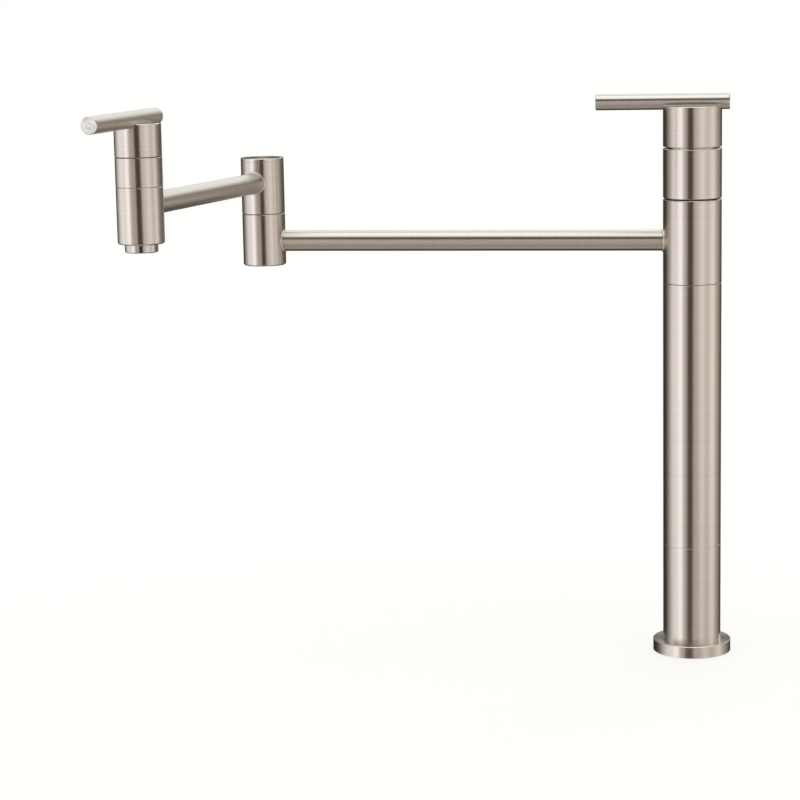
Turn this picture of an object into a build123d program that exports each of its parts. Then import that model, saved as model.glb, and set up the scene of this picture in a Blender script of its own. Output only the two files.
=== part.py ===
from build123d import *
import os
from math import cos, radians, sin

# Deck mount pot filler: an upright column with a swivelling two-piece arm, a lever
# valve on top of the column and a second one on the spout head. Millimetres, +Z up.
# The origin is the middle of the column's foot, on the deck. At rest the lower arm
# lies along -X and the upper arm turns towards -Y.

# Gaps between pieces
slip = 0.1  # round a piece that screws or pushes into another
running = 0.05  # round a journal in the bore that turns on it
seam = 0.3  # between two casings that turn on each other
play = 0.1  # over a thrust washer or under a clip
lap = 0.02  # between the two lapped valve discs
reach_gap = 1.0  # at the free end of a piece in its blind hole
seal_room = 0.4  # over an O-ring in its groove

# Casings of the column, from the deck up
column_od = 44.5
column_wall = 2.0
flange_od = 60.0
flange_height = 9.0
rim_chamfer = 0.4
base_height = 76.0
tube_height = 204.0
collar_height = 63.8
collar_round = 0.9
edge_break = 0.4
seam_break = 0.2

# Foot, shank and clamp under the deck
spigot_od = 36.0
spigot_recess = 1.0
gasket_od = 52.0
gasket_id = 42.0
gasket_thickness = 2.0
shank_od = 26.2
shank_bore = 14.0
shank_socket = 21.0
shank_reach = 52.0
supply_od = 20.9
supply_length = 16.0
supply_chamfer = 1.0
deck_thickness = 30.0
clamp_od = 50.0
deck_seal_thickness = 3.0
clamp_washer_thickness = 2.5
nut_flats = 38.0
nut_height = 9.0

# Riser pipe and the ring that joins the lower casing to the tube
web_height = 14.0
coupler_length = 20.0
coupler_wall = 2.6
riser_od = 12.0
riser_wall = 1.0
riser_socket = 11.0
riser_seal_depth = 4.0
riser_seal_section = 2.0

# Spindle that the lower arm swivels on
water_bore = 11.0
spigot_length = 20.0
journal_od = 34.0
spindle_thread_step = 1.0
spindle_thread_length = 12.0
chamber_wall = 2.4
gallery_depth = 2.2
gallery_height = 16.0
drilling_count = 5
drilling_od = 4.6
port_od = 6.0
swivel_seal_spacing = 28.0
swivel_seal_section = 2.6
swivel_bearing_spacing = 50.0
swivel_bearing_height = 6.0
bearing_thickness = 1.6
thrust_inset = 2.3
lower_thrust_thickness = 1.5
lower_thrust_sink = 1.0
upper_thrust_thickness = 0.8
valve_web = 8.5
sleeve_wall = 3.15
cartridge_room = 3.3

# Arms
arm_od = 16.0
arm_wall = 1.5
arm_port = 9.5
arm_socket = 2.7
lower_reach = 333.7
upper_reach = 205.5
upper_arm_turn = 77.65  # degrees from the lower arm's heading, at rest
arm_rise_in_collar = 32.0

# Elbow
joint_od = 33.4
joint_chamfer = 0.8
joint_break = 0.4
elbow_below_arm = 18.5
elbow_lower_height = 40.2
elbow_floor = 4.0
elbow_chamber_od = 20.0
elbow_thread_od = 22.0
elbow_thread_length = 12.0
elbow_journal_od = 24.0
elbow_bore = 10.0
elbow_gallery_depth = 1.8
elbow_gallery_height = 10.0
elbow_port_count = 4
elbow_seal_spacing = 16.0
elbow_seal_section = 2.0
elbow_bearing_height = 6.0
elbow_bearing_drop = 16.5
elbow_bearing_thickness = 1.3
elbow_thrust_od = 30.0
elbow_thrust_thickness = 1.5
arm_rise_in_elbow = 24.2
journal_above_arm = 10.5
retainer_overlap = 1.2
retainer_thickness = 1.2
elbow_screw_od = 5.0
elbow_screw_length = 6.0
elbow_screw_head_od = 9.5
elbow_screw_head = 1.8
elbow_driver_flats = 3.0
elbow_driver_depth = 1.2
cap_gap = 0.5
cap_spigot = 2.4
cap_spigot_wall = 3.1
cap_height = 2.6

# Spout head and aerator
head_below_arm = 26.5
head_cavity_od = 20.8
outlet_wall = 2.8
rim_od = 29.0
rim_wall = 1.5
rim_height = 3.8
outlet_sleeve_height = 20.7
outlet_sleeve_wall = 3.3
outlet_seam = 0.4
aerator_od = 23.6
aerator_height = 6.1
aerator_chamfer = 0.6
aerator_thread_od = 21.6
aerator_thread_length = 5.5
aerator_bore = 17.0
aerator_lip = 0.8
aerator_lip_height = 1.5
aerator_washer_thickness = 1.2
screen_thickness = 2.4
screen_hole_od = 2.2
screen_pitch = 3.15
screen_rings = 2

# Quarter-turn ceramic cartridge, the same in the column and in the head
cartridge_od = 20.9
cartridge_thread = 7.7
cage_od = 17.2
cage_wall = 1.4
cage_length = 20.5
chamber_roof = 0.8
window_count = 3
window_width = 9.0
window_height = 9.5
window_drop = 15.0
cartridge_flats = 22.0
cartridge_hex = 5.0
neck_od = 15.0
neck_height = 7.0
seat_seal_thickness = 2.0
disc_proud = 0.5
fixed_disc_thickness = 4.0
moving_disc_thickness = 3.5
disc_opening = 84.0  # degrees taken by each of a disc's two openings
disc_middle_od = 3.6
disc_rim = 1.2
lug_width = 3.0
disc_slot_depth = 1.2
stem_od = 9.8
stem_foot_od = 13.6
stem_foot_width = 5.0
stem_foot_height = 3.0
stem_waist_od = 6.4
stem_collar_height = 1.8
stem_seal_section = 1.5
stem_seal_spacing = 5.0
stem_seal_rise = 4.0
stem_height = 36.0
clip_od = 13.0
clip_thickness = 0.9
clip_mouth = 4.0
spline_od = 8.0
spline_depth = 0.6
spline_teeth = 18
spline_tooth = 0.6
spline_grip = 14.0

# Lever handles
hub_wall = 4.7
hub_boss_od = 12.0
hub_roof_drop = 6.9
inlet_hub_height = 30.6
outlet_hub_height = 23.2
lip_thickness = 3.0
lip_opening = 21.0
lip_gap = 0.7
land_height = 1.0
land_inset = 3.7
lever_od = 12.2
lever_sink = 2.9
lever_fit = 0.05
lever_chamfer = 0.4
inlet_lever_long = 73.0
inlet_lever_short = 28.0
inlet_lever_turn = 0.0  # degrees from the lower arm's heading, at rest
outlet_lever_long = 80.8
outlet_lever_short = 33.0
outlet_lever_turn = 82.0  # degrees from the lower arm's heading, at rest
lever_screw_od = 3.0
lever_screw_head_od = 5.5
lever_screw_head = 2.0
lever_screw_offset = 9.1
lever_screw_bite = 5.0
set_screw_od = 4.0
set_screw_length = 8.0
set_screw_drop = 3.4

# Radii that several pieces share
column_r = column_od / 2
tube_bore_r = column_r - column_wall
coupler_bore_r = tube_bore_r - slip - coupler_wall
spigot_r = spigot_od / 2
shank_r = shank_od / 2
riser_r = riser_od / 2
water_r = water_bore / 2
journal_r = journal_od / 2
thread_r = journal_r - spindle_thread_step
chamber_r = thread_r - chamber_wall
thrust_r = column_r - thrust_inset
arm_r = arm_od / 2
joint_r = joint_od / 2
elbow_journal_r = elbow_journal_od / 2
retainer_r = elbow_journal_r + running + retainer_overlap
cap_spigot_r = joint_r - cap_spigot_wall
cartridge_r = cartridge_od / 2
cage_r = cage_od / 2
disc_chamber_r = cage_r - cage_wall
disc_r = disc_chamber_r - slip
stem_r = stem_od / 2
spline_r = spline_od / 2
spline_root_r = spline_r - spline_depth
rim_r = rim_od / 2
aerator_thread_r = aerator_thread_od / 2

# Heights above the deck
seat_depth = cartridge_thread + cage_length + disc_proud + seat_seal_thickness
clip_top = cartridge_hex + neck_height + play + clip_thickness
z_web = spigot_recess + shank_socket
z_web_top = z_web + web_height
z_tube = flange_height + base_height
z_tube_top = z_tube + tube_height
z_collar = z_tube_top + seam
z_collar_top = z_collar + collar_height
z_valve = z_collar_top + play + upper_thrust_thickness
z_thread_top = z_valve + spindle_thread_length
z_inlet_face = z_thread_top + 2 * slip + valve_web
z_inlet_seat = z_inlet_face - seat_depth
z_sleeve_top = z_inlet_face + clip_top + lip_gap + lip_thickness
z_inlet_hub = z_sleeve_top + land_height + seam
z_lower_arm = z_collar + arm_rise_in_collar
z_elbow = z_lower_arm - elbow_below_arm
z_elbow_seam = z_elbow + elbow_lower_height
z_elbow_upper = z_elbow_seam + seam
z_upper_arm = z_elbow_upper + arm_rise_in_elbow
z_retainer = z_upper_arm + journal_above_arm
z_retainer_top = z_retainer + retainer_thickness
z_elbow_top = z_retainer_top + elbow_screw_head + cap_gap + cap_spigot
z_head = z_upper_arm - head_below_arm
z_aerator_washer = z_head + aerator_thread_length
z_outlet_wall = z_aerator_washer + aerator_washer_thickness
z_outlet_seat = z_outlet_wall + outlet_wall
z_outlet_face = z_outlet_seat + seat_depth
z_outlet_sleeve_top = z_outlet_face + outlet_sleeve_height
z_outlet_hub = z_outlet_sleeve_top + outlet_seam

# Headings in plan, in degrees from +X
full_turn = 360.0
half_turn = full_turn / 2
quarter_turn = full_turn / 4
lower_arm_heading = half_turn
upper_arm_heading = lower_arm_heading + upper_arm_turn
inlet_lever_heading = lower_arm_heading + inlet_lever_turn
outlet_lever_heading = lower_arm_heading + outlet_lever_turn


def heading(angle):
    """The level direction at an angle from +X, seen from above."""
    return Vector(cos(radians(angle)), sin(radians(angle)), 0)


column_at = Vector(0, 0, 0)
elbow_at = column_at + heading(lower_arm_heading) * lower_reach
head_at = elbow_at + heading(upper_arm_heading) * upper_reach


def upright(at):
    """The upright axis through a point."""
    return Axis((at.X, at.Y, 0), (0, 0, 1))


def section(at):
    """The upright plane on an axis, where x is the radius and y the height above the deck."""
    return Plane(origin=(at.X, at.Y, 0), x_dir=(1, 0, 0), z_dir=(0, -1, 0))


def level(at, height, angle=0.0):
    """A level plane on an axis, with x turned to a heading."""
    return Plane(origin=(at.X, at.Y, height), x_dir=heading(angle), z_dir=(0, 0, 1))


def facing(at, height, angle):
    """An upright plane on an axis that faces along a heading."""
    return Plane(
        origin=(at.X, at.Y, height), x_dir=heading(angle + quarter_turn), z_dir=heading(angle)
    )


def top_rim(piece):
    """The widest circular edge at the top of a piece."""
    return piece.edges().filter_by(GeomType.CIRCLE).group_by(Axis.Z)[-1].sort_by(SortBy.RADIUS)[-1]


def bottom_rim(piece):
    """The widest circular edge at the bottom of a piece."""
    return piece.edges().filter_by(GeomType.CIRCLE).group_by(Axis.Z)[0].sort_by(SortBy.RADIUS)[-1]


def keep(piece, label):
    """Names a finished piece and writes it."""
    piece.part.label = label
    export_step(piece.part, f"parts/{label}.step")


def pair(middle, spacing):
    """Two heights, evenly below and above a middle one."""
    return [middle - spacing / 2, middle + spacing / 2]


def rings(at, outer_r, inner_r, height, *bottoms):
    """Flat rings of one size on an axis, one at each bottom height."""
    with BuildPart() as piece:
        for bottom in bottoms:
            with BuildSketch(level(at, bottom)):
                Circle(outer_r)
                Circle(inner_r, mode=Mode.SUBTRACT)
            extrude(amount=height)
    return piece


def seals(at, outer_r, thickness, *middles):
    """O-rings of one size on an axis, one at each middle height."""
    with BuildPart() as piece:
        for middle in middles:
            with Locations(level(at, middle)):
                Torus(outer_r - thickness / 2, thickness / 2)
    return piece


def seal_grooves(at, shaft_r, thickness, *middles):
    """The cuts in a shaft that hold such O-rings level with its surface."""
    height = thickness + seal_room
    bottoms = [middle - height / 2 for middle in middles]
    return rings(at, shaft_r + slip, shaft_r - thickness - running, height, *bottoms)


def arm_opening(at, height, angle, casing_r):
    """The cut for an arm in a round casing: a port to the middle and a socket for the tube's end."""
    with BuildPart() as piece:
        with BuildSketch(facing(at, height, angle)):
            Circle(arm_port / 2)
        extrude(amount=casing_r)
        with BuildSketch(facing(at, height, angle).offset(casing_r - arm_socket)):
            Circle(arm_r + slip)
        extrude(amount=2 * arm_socket)
    return piece


def arm_tube(at, height, angle, near, far):
    """A straight arm tube between two distances from an axis."""
    with BuildPart() as piece:
        with BuildSketch(facing(at, height, angle).offset(near)):
            Circle(arm_r)
            Circle(arm_r - arm_wall, mode=Mode.SUBTRACT)
        extrude(amount=far - near)
    return piece


os.makedirs("parts", exist_ok=True)

# Foot of the column: the flange with its rubber ring, and the lower casing, whose spigot
# passes through the flange and takes the shank. The riser pipe stands in its web.
with BuildPart() as base_flange:
    with BuildSketch():
        Circle(flange_od / 2)
        Circle(spigot_r + slip, mode=Mode.SUBTRACT)
    extrude(amount=flange_height)
    chamfer(top_rim(base_flange), rim_chamfer)
    with BuildSketch():
        Circle(gasket_od / 2 + slip)
        Circle(gasket_id / 2 - slip, mode=Mode.SUBTRACT)
    extrude(amount=gasket_thickness, mode=Mode.SUBTRACT)
keep(base_flange, "base_flange")

deck_gasket = rings(column_at, gasket_od / 2, gasket_id / 2, gasket_thickness, 0)
keep(deck_gasket, "deck_gasket")

z_coupler = z_tube - coupler_length / 2
z_riser = z_web_top - riser_socket
z_base_seal = z_web_top - riser_seal_depth
riser_bore_r = riser_r - riser_wall
riser_seal_r = riser_r + running + riser_seal_section
riser_groove_r = riser_seal_r + running
riser_groove_height = riser_seal_section + seal_room
base_seal_groove = rings(
    column_at, riser_groove_r, riser_r, riser_groove_height, z_base_seal - riser_groove_height / 2
)

with BuildPart() as column_base:
    with BuildSketch(section(column_at)):
        with BuildLine():
            Polyline(
                (shank_r + slip, spigot_recess),
                (spigot_r, spigot_recess),
                (spigot_r, flange_height),
                (column_r, flange_height),
                (column_r, z_tube),
                (tube_bore_r, z_tube),
                (tube_bore_r, z_coupler),
                (coupler_bore_r, z_coupler),
                (coupler_bore_r, z_web_top),
                (riser_r + slip, z_web_top),
                (riser_r + slip, z_riser),
                (riser_bore_r, z_riser),
                (riser_bore_r, z_web),
                (shank_r + slip, z_web),
                close=True,
            )
        make_face()
    revolve(axis=upright(column_at))
    chamfer(top_rim(column_base), seam_break)
    add(base_seal_groove.part, mode=Mode.SUBTRACT)
keep(column_base, "column_base")

base_coupler = rings(column_at, tube_bore_r - slip, coupler_bore_r, coupler_length, z_coupler)
keep(base_coupler, "base_coupler")

with BuildPart() as column_tube:
    with BuildSketch(level(column_at, z_tube)):
        Circle(column_r)
        Circle(tube_bore_r, mode=Mode.SUBTRACT)
    extrude(amount=tube_height)
    chamfer([top_rim(column_tube), bottom_rim(column_tube)], seam_break)
keep(column_tube, "column_tube")

# Shank and clamp: the hollow shank screws up into the lower casing, passes the deck and
# ends in the supply thread. A rubber washer, a steel washer and a nut clamp it.
z_deck_seal = -deck_thickness - deck_seal_thickness
z_clamp_washer = z_deck_seal - clamp_washer_thickness
z_nut = z_clamp_washer - nut_height
z_supply_end = -shank_reach - supply_length
clamp_bore_r = shank_r + slip
hexagon_sides = 6

with BuildPart() as mounting_shank:
    with BuildSketch(level(column_at, -shank_reach)):
        Circle(shank_r)
    extrude(amount=shank_reach + z_web)
    with BuildSketch(level(column_at, z_supply_end)):
        Circle(supply_od / 2)
    extrude(amount=supply_length)
    chamfer(bottom_rim(mounting_shank), supply_chamfer)
    Hole(shank_bore / 2)
keep(mounting_shank, "mounting_shank")

deck_seal = rings(column_at, clamp_od / 2, clamp_bore_r, deck_seal_thickness, z_deck_seal)
keep(deck_seal, "deck_seal")

clamp_washer = rings(column_at, clamp_od / 2, clamp_bore_r, clamp_washer_thickness, z_clamp_washer)
keep(clamp_washer, "clamp_washer")

with BuildPart() as lock_nut:
    with BuildSketch(level(column_at, z_nut)):
        RegularPolygon(nut_flats / 2, hexagon_sides, major_radius=False)
        Circle(clamp_bore_r, mode=Mode.SUBTRACT)
    extrude(amount=nut_height)
keep(lock_nut, "lock_nut")

# Swivel of the lower arm: a spindle that stands in the tube's top. Water rises through
# its middle to the valve above, comes back down five drillings beside the bore, and
# leaves through five ports into the gallery that the arm's collar turns round. Rubber
# rings seal the gallery above and below, and plastic rings carry the collar.
z_spindle = z_tube_top - lower_thrust_sink - spigot_length
z_journal = z_tube_top - lower_thrust_sink
z_lower_thrust_top = z_journal + lower_thrust_thickness
z_spindle_socket = z_spindle + riser_socket + reach_gap
z_spindle_seal = z_spindle + riser_seal_depth
drilling_circle_r = chamber_r - drilling_od / 2 - slip
swivel_seal_heights = pair(z_lower_arm, swivel_seal_spacing)
swivel_bearing_bottoms = pair(z_lower_arm - swivel_bearing_height / 2, swivel_bearing_spacing)
swivel_seal_grooves = seal_grooves(column_at, journal_r, swivel_seal_section, *swivel_seal_heights)
swivel_bearing_grooves = rings(
    column_at,
    journal_r + slip,
    journal_r - bearing_thickness,
    swivel_bearing_height,
    *swivel_bearing_bottoms,
)
swivel_gallery = rings(
    column_at,
    journal_r + slip,
    journal_r - gallery_depth,
    gallery_height,
    z_lower_arm - gallery_height / 2,
)
spindle_seal_groove = rings(
    column_at, riser_groove_r, riser_r, riser_groove_height, z_spindle_seal - riser_groove_height / 2
)

with BuildPart() as swivel_spindle:
    with BuildSketch(section(column_at)):
        with BuildLine():
            Polyline(
                (riser_r + slip, z_spindle),
                (tube_bore_r - slip, z_spindle),
                (tube_bore_r - slip, z_journal),
                (journal_r, z_journal),
                (journal_r, z_valve),
                (thread_r, z_valve),
                (thread_r, z_thread_top),
                (chamber_r, z_thread_top),
                (chamber_r, z_inlet_seat),
                (water_r, z_inlet_seat),
                (water_r, z_spindle_socket),
                (riser_r + slip, z_spindle_socket),
                close=True,
            )
        make_face()
    revolve(axis=upright(column_at))
    add(swivel_gallery.part, mode=Mode.SUBTRACT)
    add(swivel_seal_grooves.part, mode=Mode.SUBTRACT)
    add(swivel_bearing_grooves.part, mode=Mode.SUBTRACT)
    add(spindle_seal_groove.part, mode=Mode.SUBTRACT)
    with Locations(level(column_at, z_inlet_seat)):
        with PolarLocations(drilling_circle_r, drilling_count):
            Hole(drilling_od / 2, depth=z_inlet_seat - z_lower_arm)
    with Locations(level(column_at, z_lower_arm)):
        with PolarLocations(drilling_circle_r, drilling_count):
            Cylinder(
                port_od / 2,
                journal_r - drilling_circle_r,
                rotation=(0, quarter_turn, 0),
                align=(Align.CENTER, Align.CENTER, Align.MIN),
                mode=Mode.SUBTRACT,
            )
keep(swivel_spindle, "swivel_spindle")

swivel_seals = seals(column_at, journal_r, swivel_seal_section, *swivel_seal_heights)
keep(swivel_seals, "swivel_seals")

swivel_bearings = rings(
    column_at,
    journal_r,
    journal_r - bearing_thickness + running,
    swivel_bearing_height,
    *swivel_bearing_bottoms,
)
keep(swivel_bearings, "swivel_bearings")

with BuildPart() as riser_tube:
    with BuildSketch(level(column_at, z_riser)):
        Circle(riser_r)
        Circle(riser_bore_r, mode=Mode.SUBTRACT)
    extrude(amount=z_spindle + riser_socket - z_riser)
keep(riser_tube, "riser_tube")

riser_seals = seals(column_at, riser_seal_r, riser_seal_section, z_base_seal, z_spindle_seal)
keep(riser_seals, "riser_seals")

lower_thrust_washer = rings(
    column_at, thrust_r, journal_r + slip, lower_thrust_thickness, z_journal
)
keep(lower_thrust_washer, "lower_thrust_washer")

upper_thrust_washer = rings(
    column_at, thrust_r, journal_r + slip, upper_thrust_thickness, z_valve - upper_thrust_thickness
)
keep(upper_thrust_washer, "upper_thrust_washer")

# Head of the column: the valve body screws on the spindle, traps the collar under it and
# takes the cartridge. The sleeve hangs on its rim and hides it.
sleeve_bore_r = column_r - sleeve_wall
sleeve_chamber_r = cartridge_flats / 2 / cos(radians(half_turn / hexagon_sides)) + cartridge_room

with BuildPart() as valve_body:
    with BuildSketch(section(column_at)):
        with BuildLine():
            Polyline(
                (thread_r + slip, z_valve),
                (sleeve_bore_r - slip, z_valve),
                (sleeve_bore_r - slip, z_inlet_face),
                (cartridge_r + slip, z_inlet_face),
                (cartridge_r + slip, z_thread_top + 2 * slip),
                (thread_r + slip, z_thread_top + 2 * slip),
                close=True,
            )
        make_face()
    revolve(axis=upright(column_at))
keep(valve_body, "valve_body")

with BuildPart() as valve_sleeve:
    with BuildSketch(section(column_at)):
        with BuildLine():
            Polyline(
                (sleeve_bore_r, z_valve),
                (column_r, z_valve),
                (column_r, z_sleeve_top),
                (lip_opening / 2, z_sleeve_top),
                (lip_opening / 2, z_sleeve_top - lip_thickness),
                (sleeve_chamber_r, z_sleeve_top - lip_thickness),
                (sleeve_chamber_r, z_inlet_face),
                (sleeve_bore_r, z_inlet_face),
                close=True,
            )
        make_face()
    revolve(axis=upright(column_at))
    chamfer([top_rim(valve_sleeve), bottom_rim(valve_sleeve)], edge_break)
    with BuildSketch(level(column_at, z_sleeve_top)):
        Circle(column_r - land_inset)
        Circle(lip_opening / 2, mode=Mode.SUBTRACT)
    extrude(amount=land_height)
keep(valve_sleeve, "valve_sleeve")

# Lower arm: a collar that turns on the spindle, a tube, and the lower half of the elbow.
collar_arm_opening = arm_opening(column_at, z_lower_arm, lower_arm_heading, column_r)

with BuildPart() as swivel_collar:
    with BuildSketch(section(column_at)):
        with BuildLine():
            Polyline(
                (journal_r + running, z_lower_thrust_top + play),
                (journal_r + running, z_collar_top),
                (column_r, z_collar_top),
                (column_r, z_collar),
                (tube_bore_r, z_collar),
                (tube_bore_r, z_lower_thrust_top + play),
                close=True,
            )
        make_face()
    revolve(axis=upright(column_at))
    fillet(top_rim(swivel_collar), collar_round)
    chamfer(bottom_rim(swivel_collar), seam_break)
    add(collar_arm_opening.part, mode=Mode.SUBTRACT)
keep(swivel_collar, "swivel_collar")

lower_arm_tube = arm_tube(
    column_at,
    z_lower_arm,
    lower_arm_heading,
    column_r - arm_socket,
    lower_reach - joint_r + arm_socket,
)
keep(lower_arm_tube, "lower_arm_tube")

z_elbow_thread = z_elbow_seam - elbow_thread_length
elbow_lower_opening = arm_opening(elbow_at, z_lower_arm, lower_arm_heading + half_turn, joint_r)

with BuildPart() as elbow_lower:
    with BuildSketch(section(elbow_at)):
        with BuildLine():
            Polyline(
                (0, z_elbow),
                (joint_r, z_elbow),
                (joint_r, z_elbow_seam),
                (elbow_thread_od / 2 + slip, z_elbow_seam),
                (elbow_thread_od / 2 + slip, z_elbow_thread),
                (elbow_chamber_od / 2, z_elbow_thread),
                (elbow_chamber_od / 2, z_elbow + elbow_floor),
                (0, z_elbow + elbow_floor),
                close=True,
            )
        make_face()
    revolve(axis=upright(elbow_at))
    chamfer(bottom_rim(elbow_lower), joint_chamfer)
    chamfer(top_rim(elbow_lower), joint_break)
    add(elbow_lower_opening.part, mode=Mode.SUBTRACT)
keep(elbow_lower, "elbow_lower")

# Elbow spindle: it screws into the lower half, leads the water up through its middle and
# out of four ports, and the upper half turns on it under a retainer held by a screw.
z_elbow_bearing = z_upper_arm - elbow_bearing_drop - elbow_bearing_height / 2
z_elbow_bore_top = z_upper_arm + elbow_gallery_height / 2 - reach_gap
elbow_screw_tip = z_retainer_top - elbow_screw_length
elbow_seal_heights = pair(z_upper_arm, elbow_seal_spacing)
elbow_seal_grooves = seal_grooves(
    elbow_at, elbow_journal_r, elbow_seal_section, *elbow_seal_heights
)
elbow_bearing_groove = rings(
    elbow_at,
    elbow_journal_r + slip,
    elbow_journal_r - elbow_bearing_thickness,
    elbow_bearing_height,
    z_elbow_bearing,
)
elbow_gallery = rings(
    elbow_at,
    elbow_journal_r + slip,
    elbow_journal_r - elbow_gallery_depth,
    elbow_gallery_height,
    z_upper_arm - elbow_gallery_height / 2,
)

with BuildPart() as elbow_spindle:
    with BuildSketch(section(elbow_at)):
        with BuildLine():
            Polyline(
                (elbow_bore / 2, z_elbow_thread),
                (elbow_thread_od / 2, z_elbow_thread),
                (elbow_thread_od / 2, z_elbow_seam),
                (elbow_journal_r, z_elbow_seam),
                (elbow_journal_r, z_retainer),
                (elbow_screw_od / 2 + slip, z_retainer),
                (elbow_screw_od / 2 + slip, elbow_screw_tip - slip),
                (0, elbow_screw_tip - slip),
                (0, z_elbow_bore_top),
                (elbow_bore / 2, z_elbow_bore_top),
                close=True,
            )
        make_face()
    revolve(axis=upright(elbow_at))
    add(elbow_gallery.part, mode=Mode.SUBTRACT)
    add(elbow_seal_grooves.part, mode=Mode.SUBTRACT)
    add(elbow_bearing_groove.part, mode=Mode.SUBTRACT)
    with Locations(level(elbow_at, z_upper_arm)):
        with PolarLocations(0, elbow_port_count):
            Cylinder(
                port_od / 2,
                elbow_journal_r,
                rotation=(0, quarter_turn, 0),
                align=(Align.CENTER, Align.CENTER, Align.MIN),
                mode=Mode.SUBTRACT,
            )
keep(elbow_spindle, "elbow_spindle")

elbow_seals = seals(elbow_at, elbow_journal_r, elbow_seal_section, *elbow_seal_heights)
keep(elbow_seals, "elbow_seals")

elbow_bearing = rings(
    elbow_at,
    elbow_journal_r,
    elbow_journal_r - elbow_bearing_thickness + running,
    elbow_bearing_height,
    z_elbow_bearing,
)
keep(elbow_bearing, "elbow_bearing")

elbow_thrust_washer = rings(
    elbow_at, elbow_thrust_od / 2, elbow_journal_r + slip, elbow_thrust_thickness, z_elbow_seam
)
keep(elbow_thrust_washer, "elbow_thrust_washer")

elbow_retainer = rings(
    elbow_at, retainer_r, elbow_screw_od / 2 + slip, retainer_thickness, z_retainer
)
keep(elbow_retainer, "elbow_retainer")

with BuildPart() as elbow_screw:
    with BuildSketch(level(elbow_at, elbow_screw_tip)):
        Circle(elbow_screw_od / 2)
    extrude(amount=elbow_screw_length)
    with BuildSketch(level(elbow_at, z_retainer_top)):
        Circle(elbow_screw_head_od / 2)
    extrude(amount=elbow_screw_head)
    with BuildSketch(level(elbow_at, z_retainer_top + elbow_screw_head)):
        RegularPolygon(elbow_driver_flats / 2, hexagon_sides, major_radius=False)
    extrude(amount=-elbow_driver_depth, mode=Mode.SUBTRACT)
keep(elbow_screw, "elbow_screw")

# Upper arm: the upper half of the elbow with its cap, and a tube to the spout head.
elbow_upper_opening = arm_opening(elbow_at, z_upper_arm, upper_arm_heading, joint_r)

with BuildPart() as elbow_upper:
    with BuildSketch(section(elbow_at)):
        with BuildLine():
            Polyline(
                (elbow_journal_r + running, z_elbow_seam + elbow_thrust_thickness + play),
                (elbow_thrust_od / 2 + slip, z_elbow_seam + elbow_thrust_thickness + play),
                (elbow_thrust_od / 2 + slip, z_elbow_upper),
                (joint_r, z_elbow_upper),
                (joint_r, z_elbow_top),
                (cap_spigot_r + slip, z_elbow_top),
                (cap_spigot_r + slip, z_retainer - play),
                (elbow_journal_r + running, z_retainer - play),
                close=True,
            )
        make_face()
    revolve(axis=upright(elbow_at))
    chamfer(top_rim(elbow_upper), seam_break)
    chamfer(bottom_rim(elbow_upper), joint_break)
    add(elbow_upper_opening.part, mode=Mode.SUBTRACT)
keep(elbow_upper, "elbow_upper")

with BuildPart() as elbow_cap:
    with BuildSketch(level(elbow_at, z_elbow_top - cap_spigot)):
        Circle(cap_spigot_r)
    extrude(amount=cap_spigot)
    with BuildSketch(level(elbow_at, z_elbow_top)):
        Circle(joint_r)
    extrude(amount=cap_height)
    chamfer(top_rim(elbow_cap), edge_break)
keep(elbow_cap, "elbow_cap")

upper_arm_tube = arm_tube(
    elbow_at,
    z_upper_arm,
    upper_arm_heading,
    joint_r - arm_socket,
    upper_reach - joint_r + arm_socket,
)
keep(upper_arm_tube, "upper_arm_tube")

# Spout head: the body holds the cartridge over the seat, the aerator screws in below,
# and a short sleeve stands round the body's rim.
head_arm_opening = arm_opening(head_at, z_upper_arm, upper_arm_heading + half_turn, joint_r)

with BuildPart() as outlet_body:
    with BuildSketch(section(head_at)):
        with BuildLine():
            Polyline(
                (aerator_thread_r + slip, z_head),
                (joint_r, z_head),
                (joint_r, z_outlet_face - joint_break),
                (joint_r - joint_break, z_outlet_face),
                (rim_r, z_outlet_face),
                (rim_r, z_outlet_face + rim_height),
                (rim_r - rim_wall, z_outlet_face + rim_height),
                (rim_r - rim_wall, z_outlet_face),
                (cartridge_r + slip, z_outlet_face),
                (cartridge_r + slip, z_outlet_face - cartridge_thread - slip),
                (head_cavity_od / 2, z_outlet_face - cartridge_thread - slip),
                (head_cavity_od / 2, z_outlet_seat),
                (water_r, z_outlet_seat),
                (water_r, z_outlet_wall),
                (aerator_thread_r + slip, z_outlet_wall),
                close=True,
            )
        make_face()
    revolve(axis=upright(head_at))
    chamfer(bottom_rim(outlet_body), joint_chamfer)
    add(head_arm_opening.part, mode=Mode.SUBTRACT)
keep(outlet_body, "outlet_body")

with BuildPart() as outlet_sleeve:
    with BuildSketch(section(head_at)):
        with BuildLine():
            Polyline(
                (rim_r + slip, z_outlet_face),
                (joint_r, z_outlet_face),
                (joint_r, z_outlet_sleeve_top),
                (joint_r - outlet_sleeve_wall, z_outlet_sleeve_top),
                (joint_r - outlet_sleeve_wall, z_outlet_face + rim_height + slip),
                (rim_r + slip, z_outlet_face + rim_height + slip),
                close=True,
            )
        make_face()
    revolve(axis=upright(head_at))
    chamfer(top_rim(outlet_sleeve), seam_break)
    chamfer(bottom_rim(outlet_sleeve), joint_break)
keep(outlet_sleeve, "outlet_sleeve")

z_screen = z_head - aerator_height + aerator_lip_height

with BuildPart() as aerator_housing:
    with BuildSketch(section(head_at)):
        with BuildLine():
            Polyline(
                (aerator_bore / 2 - aerator_lip, z_head - aerator_height),
                (aerator_od / 2, z_head - aerator_height),
                (aerator_od / 2, z_head),
                (aerator_thread_r, z_head),
                (aerator_thread_r, z_aerator_washer),
                (aerator_bore / 2, z_aerator_washer),
                (aerator_bore / 2, z_screen),
                (aerator_bore / 2 - aerator_lip, z_screen),
                close=True,
            )
        make_face()
    revolve(axis=upright(head_at))
    chamfer(bottom_rim(aerator_housing), aerator_chamfer)
keep(aerator_housing, "aerator_housing")

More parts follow.
